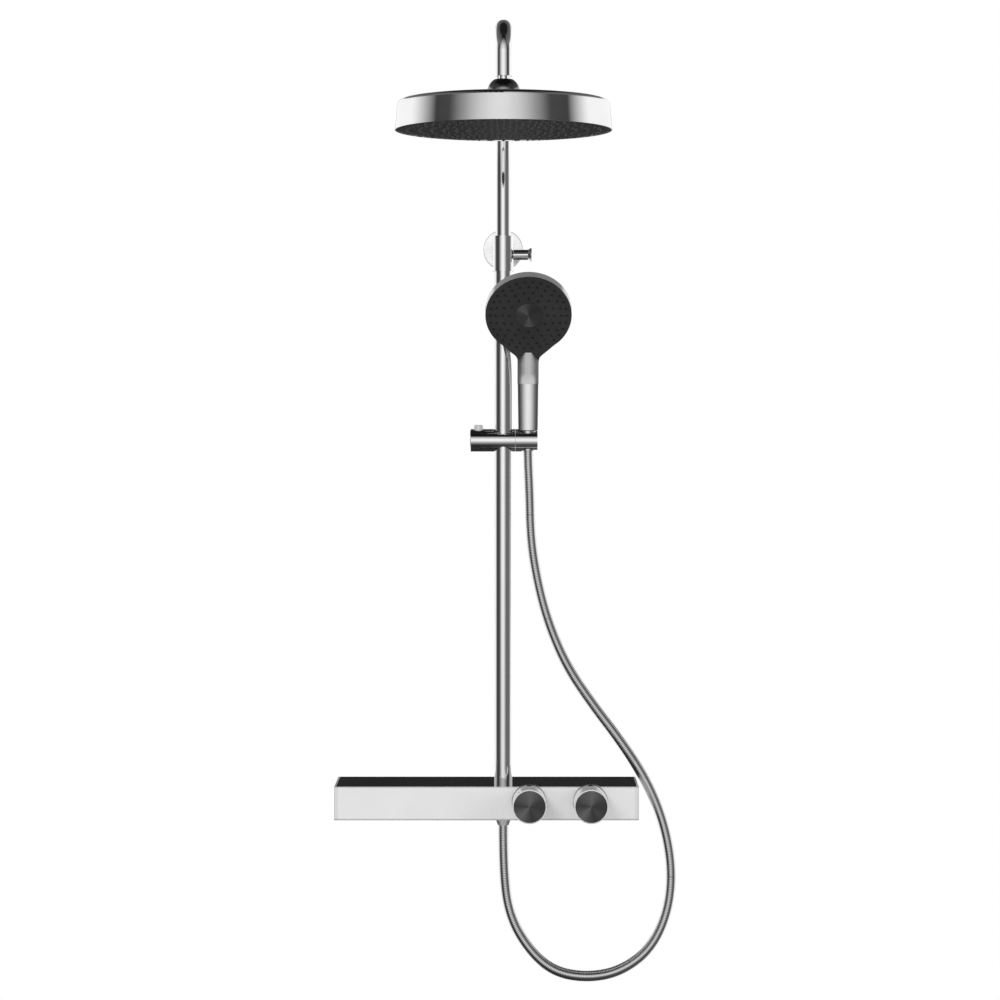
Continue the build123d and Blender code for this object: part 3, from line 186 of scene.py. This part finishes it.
def floor():
    """A pale round floor below the object, fading out at its edge."""
    radius, height = 2.4, -1.05
    mesh = bpy.data.meshes.new("floor")
    bm = bmesh.new()
    bmesh.ops.create_circle(bm, cap_ends=True, radius=radius, segments=96)
    bm.to_mesh(mesh)
    bm.free()
    obj = bpy.data.objects.new("floor", mesh)
    obj.location = (0, 0, height)
    obj.visible_glossy = False
    scene.collection.objects.link(obj)
    material = bpy.data.materials.new("floor")
    material.use_nodes = True
    g = Graph(material.node_tree)
    place = g.add("ShaderNodeTexCoord").outputs["Object"]
    far = g.math("DIVIDE", g.vector("LENGTH", place, out=1), radius)
    grain = g.spread(g.noise(place, 6.0, 4.0), 0.3, 0.7, 0.83, 0.87)
    tone = g.add("ShaderNodeCombineColor", {0: grain, 1: grain, 2: grain}).outputs[0]
    surface = g.add("ShaderNodeBsdfDiffuse", {"Color": tone})
    clear = g.add("ShaderNodeBsdfTransparent")
    fade = g.spread(far, 0.55, 0.98, 0.0, 1.0)
    mixed = g.add("ShaderNodeMixShader", {0: fade, 1: surface.outputs[0], 2: clear.outputs[0]})
    g.add("ShaderNodeOutputMaterial", {"Surface": mixed.outputs[0]})
    mesh.materials.append(material)


studio_world()
lamp("key", (-1.6, -2.6, 2.4), (0.0, -0.1, 0.4), 1.6, 70.0)
lamp("fill", (2.4, -1.8, 0.8), (0.0, -0.1, 0.3), 1.6, 25.0)
floor()


# ---- materials ----
fine_grain = 900.0
soft_patch = 22.0
brushed_patch = 30.0
turning_pitch = 0.00045


def shader(name, dark, light, rough, metallic=0.0, bump=0.02, top=None, **extra):
    """A surface whose tone and gloss vary in soft patches, with a fine grain in its relief.

    top gives the roughness and the metallic share of its upward faces, where they are brushed.
    """
    material = bpy.data.materials.new(name)
    material.use_nodes = True
    g = Graph(material.node_tree)
    place = g.add("ShaderNodeTexCoord").outputs["Object"]
    patches = g.noise(place, soft_patch, 3.0)
    tone = g.ramp(patches, [(0.3, dark), (0.7, light)])
    fine = g.noise(place, fine_grain, 2.0)
    gloss = g.math("ADD", g.spread(patches, 0.25, 0.75, *rough), g.spread(fine, 0.2, 0.8, -0.01, 0.01))
    relief = g.add("ShaderNodeBump", {"Strength": bump, "Distance": 0.0005, "Height": fine})
    if top:
        level = g.add("ShaderNodeSeparateXYZ", {0: g.add("ShaderNodeTexCoord").outputs["Normal"]}).outputs[2]
        upward = g.spread(level, 0.90, 0.99, 0.0, 1.0)
        gloss = g.mix(upward, gloss, top[0])
        metallic = g.spread(upward, 0.0, 1.0, metallic, top[1])
    inputs = {"Base Color": tone, "Roughness": gloss, "Metallic": metallic, "Normal": relief.outputs[0]}
    inputs.update(extra)
    body = g.add("ShaderNodeBsdfPrincipled", inputs)
    g.add("ShaderNodeOutputMaterial", {"Surface": body.outputs[0]})
    return material


def spun_painted_highlights(name, centre, axis, up, highlight_wedges, dark, light, rough=0.3, metallic=1.0):
    """Metal turned in fine circles round an axis, with painted highlights: lighter and darker wedges at
    angles from its right, painted into its colour as reflections.
    """
    material = bpy.data.materials.new(name)
    material.use_nodes = True
    g = Graph(material.node_tree)
    place = g.add("ShaderNodeTexCoord").outputs["Object"]
    arm = g.vector("SUBTRACT", place, tuple(centre))
    along = g.vector("DOT_PRODUCT", arm, tuple(axis), out=1)
    lift = g.add("ShaderNodeVectorMath", {0: tuple(axis), 3: along}, operation="SCALE").outputs[0]
    flat = g.vector("SUBTRACT", arm, lift)
    radius = g.vector("LENGTH", flat, out=1)
    tangent = g.vector("NORMALIZE", g.vector("CROSS_PRODUCT", tuple(axis), flat))
    line = g.add("ShaderNodeCombineXYZ", {0: g.math("DIVIDE", radius, turning_pitch)}).outputs[0]
    rings = g.noise(line, 1.0, 3.0, 0.7)
    rightward = g.vector("DOT_PRODUCT", arm, tuple(Vector(up).cross(axis)), out=1)
    upward = g.vector("DOT_PRODUCT", arm, tuple(up), out=1)
    angle = g.math("DEGREES", g.math("ARCTAN2", upward, rightward))
    stops = [(0.5 + wedge / 360.0, brightness) for wedge, brightness in highlight_wedges]
    # painted highlight: the tone is lighter in wedges by angle round the axis, where a turned disc would
    # mirror light
    share = g.ramp(g.spread(angle, -180.0, 180.0, 0.0, 1.0), stops)
    share = g.math("ADD", share, g.spread(rings, 0.3, 0.7, -0.08, 0.08))
    tone = g.ramp(share, [(0.0, dark), (1.0, light)])
    gloss = g.spread(rings, 0.3, 0.7, rough - 0.04, rough + 0.05)
    relief = g.add("ShaderNodeBump", {"Strength": 0.12, "Distance": 0.0003, "Height": rings})
    inputs = {
        "Base Color": tone, "Roughness": gloss, "Metallic": metallic, "Anisotropic": 0.85,
        "Normal": relief.outputs[0], "Tangent": tangent,
    }
    body = g.add("ShaderNodeBsdfPrincipled", inputs)
    g.add("ShaderNodeOutputMaterial", {"Surface": body.outputs[0]})
    return material


def grey(tone):
    """A grey that leans a little to blue."""
    return (tone, tone, tone * 1.01)


chrome = shader("chrome", grey(0.93), grey(0.97), (0.03, 0.05), 1.0, bump=0.01)
slot_materials = {
    "chrome_metal": chrome,
    "chrome_plated": shader("chrome_plated", grey(0.88), grey(0.92), (0.04, 0.07), 1.0, bump=0.015),
    "shelf_glass": shader("shelf_glass", grey(0.013), grey(0.017), (0.06, 0.09), bump=0.01, **{"IOR": 1.45}),
    "spray_black": shader("spray_black", grey(0.010), grey(0.016), (0.36, 0.46), bump=0.08),
    "spun_metal": shader("spun_metal", grey(0.20), grey(0.27), (0.28, 0.36), 1.0),
    "hose_metal": shader("hose_metal", grey(0.78), grey(0.88), (0.10, 0.15), 1.0, bump=0.01),
    "brass": shader("brass", (0.62, 0.44, 0.19), (0.74, 0.56, 0.28), (0.28, 0.42), 1.0, bump=0.1),
    "steel": shader("steel", grey(0.50), grey(0.60), (0.25, 0.36), 1.0, bump=0.05),
    "silicone": shader("silicone", grey(0.040), grey(0.055), (0.50, 0.62), bump=0.1),
    "seal_rubber": shader("seal_rubber", grey(0.018), grey(0.028), (0.55, 0.7), bump=0.15),
    "inner_plastic": shader("inner_plastic", (0.70, 0.70, 0.67), (0.78, 0.78, 0.75), (0.42, 0.52), bump=0.08),
    "grey_plastic": shader("grey_plastic", grey(0.07), grey(0.10), (0.45, 0.58), bump=0.15),
}


def paint(obj, material):
    """The only material on a piece."""
    obj.data.materials.clear()
    obj.data.materials.append(material)


for subpart in frame["record"]["subparts"]:
    paint(nodes[subpart["node"]], slot_materials[subpart["material_slot"]])

slope = radians(32.0)  # the spray face's own tilt, towards the floor
face_out = Vector((0, -cos(slope), -sin(slope)))
face_up = Vector((0, -sin(slope), cos(slope)))


def middle(name):
    """The middle of a node's box."""
    low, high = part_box(name)
    return (low + high) / 2


def facing_shaded_satin(name, stops, rough, metallic=0.1):
    """Brushed plating whose colour is painted: light where it faces the viewer, as a painted highlight, and
    darker towards its sides, as painted shade.
    """
    material = bpy.data.materials.new(name)
    material.use_nodes = True
    g = Graph(material.node_tree)
    place = g.add("ShaderNodeTexCoord").outputs["Object"]
    patches = g.noise(place, brushed_patch, 3.0)
    fine = g.noise(place, fine_grain, 2.0)
    # painted light and shade: the base colour runs from light to dark as the surface turns away from the
    # viewer
    facing_for_shade = g.add("ShaderNodeLayerWeight", {"Blend": 0.5}).outputs["Facing"]
    tone = g.ramp(facing_for_shade, stops)
    uneven = g.ramp(patches, [(0.3, 0.94), (0.7, 1.0)])
    tone = g.add("ShaderNodeMix", {0: 1.0, 6: tone, 7: uneven}, data_type="RGBA", blend_type="MULTIPLY")
    relief = g.add("ShaderNodeBump", {"Strength": 0.03, "Distance": 0.0005, "Height": fine})
    inputs = {
        "Base Color": tone.outputs[2], "Roughness": g.spread(patches, 0.25, 0.75, rough - 0.03, rough + 0.03),
        "Metallic": metallic, "Normal": relief.outputs[0], "IOR": 1.3,
    }
    body = g.add("ShaderNodeBsdfPrincipled", inputs)
    g.add("ShaderNodeOutputMaterial", {"Surface": body.outputs[0]})
    return material


dull = {"Specular IOR Level": 0.15}
# painted highlight and shade for the grip and the shell, by how squarely they face the viewer
grip_shade_by_facing = [
    (0.0, 0.76), (0.05, 0.60), (0.134, 0.37), (0.24, 0.19), (0.40, 0.07), (0.58, 0.02), (1.0, 0.02),
]
shell_shade_by_facing = [
    (0.0, 0.56), (0.152, 0.57), (0.21, 0.43), (0.27, 0.32), (0.39, 0.15), (0.63, 0.10), (1.0, 0.10),
]
paint(nodes["handle_sleeve"], facing_shaded_satin("grip_facing_shade", grip_shade_by_facing, 0.45))
paint(nodes["hand_shower_shell"], facing_shaded_satin("shell_facing_shade", shell_shade_by_facing, 0.45))
paint(nodes["hand_shower_face"], shader("face_black", grey(0.026), grey(0.034), (0.38, 0.48), bump=0.08))
paint(nodes["hand_shower_nozzles"], shader("nozzle_black", grey(0.008), grey(0.014), (0.50, 0.62), bump=0.1))
paint(nodes["hand_shower_rim"], shader("rim", grey(0.55), grey(0.60), (0.10, 0.14), 0.65, bump=0.02))
paint(nodes["ball_collar"], shader("collar", grey(0.24), grey(0.30), (0.08, 0.12), 1.0, bump=0.02))
head_shell = shader("head_shell", grey(0.88), grey(0.92), (0.04, 0.07), 1.0, bump=0.015, top=(0.26, 0.45))
paint(nodes["rain_head_shell"], head_shell)
rain_face = shader("rain_face", grey(0.006), grey(0.010), (0.50, 0.60), bump=0.08, **dull)
paint(nodes["rain_head_face"], rain_face)
rain_nozzles = shader("rain_nozzles", grey(0.075), grey(0.11), (0.50, 0.62), bump=0.1, **dull)
paint(nodes["rain_head_nozzles"], rain_nozzles)
for name in ("slider_body", "slider_end_cap", "hand_shower_holder"):
    paint(nodes[name], chrome)
paint(nodes["release_button"], shader("button_satin", grey(0.60), grey(0.68), (0.28, 0.36), 0.3))
paint(nodes["wall_escutcheon"], shader("plate_satin", grey(0.92), grey(0.95), (0.12, 0.16), 0.5, bump=0.004))
plated_front = shader("plated_front", grey(0.75), grey(0.78), (0.10, 0.14), 0.35, bump=0.02)
for name in ("mixer_housing", "flow_knob", "temperature_knob"):
    paint(nodes[name], plated_front)
# painted shade: the end caps get the front's plating painted darker
plated_end_shaded = shader("plated_end_shaded", grey(0.66), grey(0.69), (0.12, 0.16), 0.35, bump=0.02)
for name in ("left_end_cap", "right_end_cap"):
    paint(nodes[name], plated_end_shaded)
# painted highlight and shade for the hose outlet, by how squarely it faces the viewer
outlet_shade_by_facing = [(0.0, 0.85), (0.17, 0.80), (0.26, 0.50), (0.42, 0.12), (0.6, 0.04), (1.0, 0.04)]
paint(nodes["hose_nut"], facing_shaded_satin("outlet_facing_shade", outlet_shade_by_facing, 0.22, 0.3))

# painted highlights: how bright the painted reflections on the turned discs are at each angle, in degrees
# from their right
knob_highlight_wedges = [
    (-180, 0.2), (-155, 0.6), (-130, 0.95), (-105, 0.45), (-78, 0.1), (-45, 0.3), (-10, 0.1), (25, 0.15),
    (55, 0.5), (85, 0.95), (115, 0.7), (145, 0.5), (172, 0.15), (180, 0.2),
]
select_highlight_wedges = [
    (-180, 0.2), (-120, 0.25), (-97, 0.9), (-80, 1.0), (-58, 0.3), (-20, 0.1), (45, 0.0), (85, 0.2),
    (112, 0.9), (138, 1.0), (160, 0.3), (180, 0.2),
]
for name in ("flow_knob_face", "temperature_knob_face"):
    disc = spun_painted_highlights(name, middle(name), (0, -1, 0), (0, 0, 1), knob_highlight_wedges, grey(0.055), grey(0.20))
    paint(nodes[name], disc)
select = spun_painted_highlights(
    "select_button", middle("select_button"), face_out, face_up, select_highlight_wedges, grey(0.024), grey(0.075),
    rough=0.42, metallic=0.1,
)
paint(nodes["select_button"], select)


# ---- hose ----
# the route's control points, from the nut under the mixer to the cone nut
route = [
    (0.022, -0.065, -0.030), (0.022, -0.065, -0.095), (0.031, -0.066, -0.154), (0.059, -0.066, -0.200),
    (0.092, -0.066, -0.2265), (0.1365, -0.065, -0.2335), (0.179, -0.064, -0.225), (0.218, -0.063, -0.1965),
    (0.241, -0.062, -0.149), (0.2475, -0.061, -0.092), (0.237, -0.060, -0.0295), (0.2135, -0.059, 0.028),
    (0.1785, -0.058, 0.081), (0.141, -0.058, 0.1295), (0.1065, -0.059, 0.1805), (0.0825, -0.060, 0.2365),
    (0.0675, -0.062, 0.293), (0.0585, -0.064, 0.350), (0.057, -0.065, 0.415), (0.055, -0.065, 0.455),
    (0.055, -0.065, 0.468),
]


def spline_points(points, resolution):
    """Points along the smooth NURBS that has these control points, in metres."""
    curve = bpy.data.curves.new("route", "CURVE")
    curve.dimensions = "3D"
    spline = curve.splines.new("NURBS")
    spline.points.add(len(points) - 1)
    for point, place in zip(spline.points, points):
        point.co = (*place, 1.0)
    spline.order_u = 3
    spline.use_endpoint_u = True
    spline.resolution_u = resolution
    obj = bpy.data.objects.new("route", curve)
    scene.collection.objects.link(obj)
    mesh = bpy.data.meshes.new_from_object(obj)
    found = [v.co.copy() for v in mesh.vertices]
    bpy.data.objects.remove(obj)
    bpy.data.curves.remove(curve)
    bpy.data.meshes.remove(mesh)
    return found


def even_points(points, step):
    """The same line with its points at an even spacing, and its length."""
    line = np.array([tuple(p) for p in points])
    gone = np.concatenate([[0], np.cumsum(np.linalg.norm(np.diff(line, axis=0), axis=1))])
    count = int(round(gone[-1] / step)) + 1
    places = np.linspace(0, gone[-1], count)
    return np.stack([np.interp(places, gone, line[:, i]) for i in range(3)], axis=1), gone[-1]


def rings_along(line, radius_at, around):
    """Rings of points round a line, each turned as little as can be from the one before."""
    ways = np.gradient(line, axis=0)
    ways /= np.linalg.norm(ways, axis=1)[:, None]
    side = np.cross(ways[0], (0.0, 1.0, 0.0))
    side /= np.linalg.norm(side)
    angles = np.arange(around) * 2 * pi / around
    rings = []
    for i, (place, way) in enumerate(zip(line, ways)):
        side = side - way * side.dot(way)
        side /= np.linalg.norm(side)
        other = np.cross(way, side)
        radius = radius_at(i, angles)
        out = np.outer(radius * np.cos(angles), side) + np.outer(radius * np.sin(angles), other)
        rings.append(place + out)
    return rings


def tube_piece(name, rings, material):
    """A closed tube through rings of points."""
    around = len(rings[0])
    vertices = [tuple(point) for ring in rings for point in ring]
    faces = []
    for i in range(len(rings) - 1):
        a, b = i * around, (i + 1) * around
        for k in range(around):
            n = (k + 1) % around
            faces.append((a + k, a + n, b + n, b + k))
    faces.append(tuple(reversed(range(around))))
    faces.append(tuple(range((len(rings) - 1) * around, len(rings) * around)))
    mesh = bpy.data.meshes.new(name)
    mesh.from_pydata(vertices, [], faces)
    mesh.validate()
    mesh.update()
    mesh.polygons.foreach_set("use_smooth", [True] * len(mesh.polygons))
    mesh.materials.append(material)
    obj = bpy.data.objects.new(name, mesh)
    scene.collection.objects.link(obj)
    return obj


hose_radius = 0.007
strip_pitch = 0.0022
strip_depth = 0.00022
rings_per_turn = 6
curve_resolution = 24
hose_around = 24
clear_of_mixer = 0.06  # heights on the hose's rising side
neck_low = 0.245
neck_high = 0.383
curve_line = spline_points(route, curve_resolution)
hose_line, hose_length = even_points(curve_line, strip_pitch / rings_per_turn)


def strip_radius(i, angles):
    """The hose's radius, with the rounded ridges of a metal strip wound round it."""
    phase = (i / rings_per_turn - angles / (2 * pi)) % 1.0
    return hose_radius - strip_depth * np.abs(np.cos(pi * phase)) ** 4


def turn_start(ring):
    """The number of the ring that starts this ring's turn of the strip."""
    return int(ring) // rings_per_turn * rings_per_turn


def ring_at_height(height):
    """The first ring, at the start of a turn, where the hose's rising side reaches a height."""
    return turn_start(np.argmax(hose_line[:, 2] >= height))


# the hose is parted on its way from joint to joint
rightmost = turn_start(np.argmax(hose_line[:, 0]))
last_ring = len(hose_line) - 1
partings = [0, rightmost, ring_at_height(neck_low), ring_at_height(neck_high), last_ring]
hose_rings = rings_along(hose_line, strip_radius, hose_around)
# ring numbers for each stretch: the start, a ring above the mixer's end, and the neck's partings
bend_starts = [0, ring_at_height(clear_of_mixer), partings[2], partings[3]]
stretches = [
    ("hose_tube", "column", "slider_brake", ["hose_nut"]),
    ("hose_rise", "slider_brake", "slider", []),
    ("hose_neck", "slider", "holder", []),
    ("hose_end", "holder", "hand_shower", ["hose_cone_nut"]),
]
for (name, lower, upper, fittings), first, last, bend in zip(stretches, partings, partings[1:], bend_starts):
    stretch = tube_piece(name, hose_rings[first:last + 1], slot_materials["hose_metal"])
    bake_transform(stretch)
    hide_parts("hose")
print("hose length", round(hose_length, 4))


# ---- springs ----
wire_radius = 0.0004
wire_around = 10
coil_pitch = 0.0019
rings_per_coil = 28


def plain_radius(i, angles):
    """The wire's radius, the same all round."""
    return np.full_like(angles, wire_radius)


def spring(node):
    """A compression spring in a CAD spring's place."""
    low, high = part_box(node)
    centre = (low + high) / 2
    radius = (high.x - low.x) / 2 - wire_radius
    coils = (high.z - low.z - 2 * wire_radius) / coil_pitch
    turns = np.linspace(0.0, coils, int(coils * rings_per_coil) + 1)
    line = np.column_stack([
        centre.x + radius * np.cos(2 * pi * turns),
        centre.y + radius * np.sin(2 * pi * turns),
        low.z + wire_radius + coil_pitch * turns,
    ])
    rings = rings_along(line, plain_radius, wire_around)
    piece = tube_piece(node + "_coil", rings, slot_materials["steel"])
    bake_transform(piece)
    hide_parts(node)


spring("flow_stop_spring")
spring("temperature_stop_spring")
spring("release_spring")
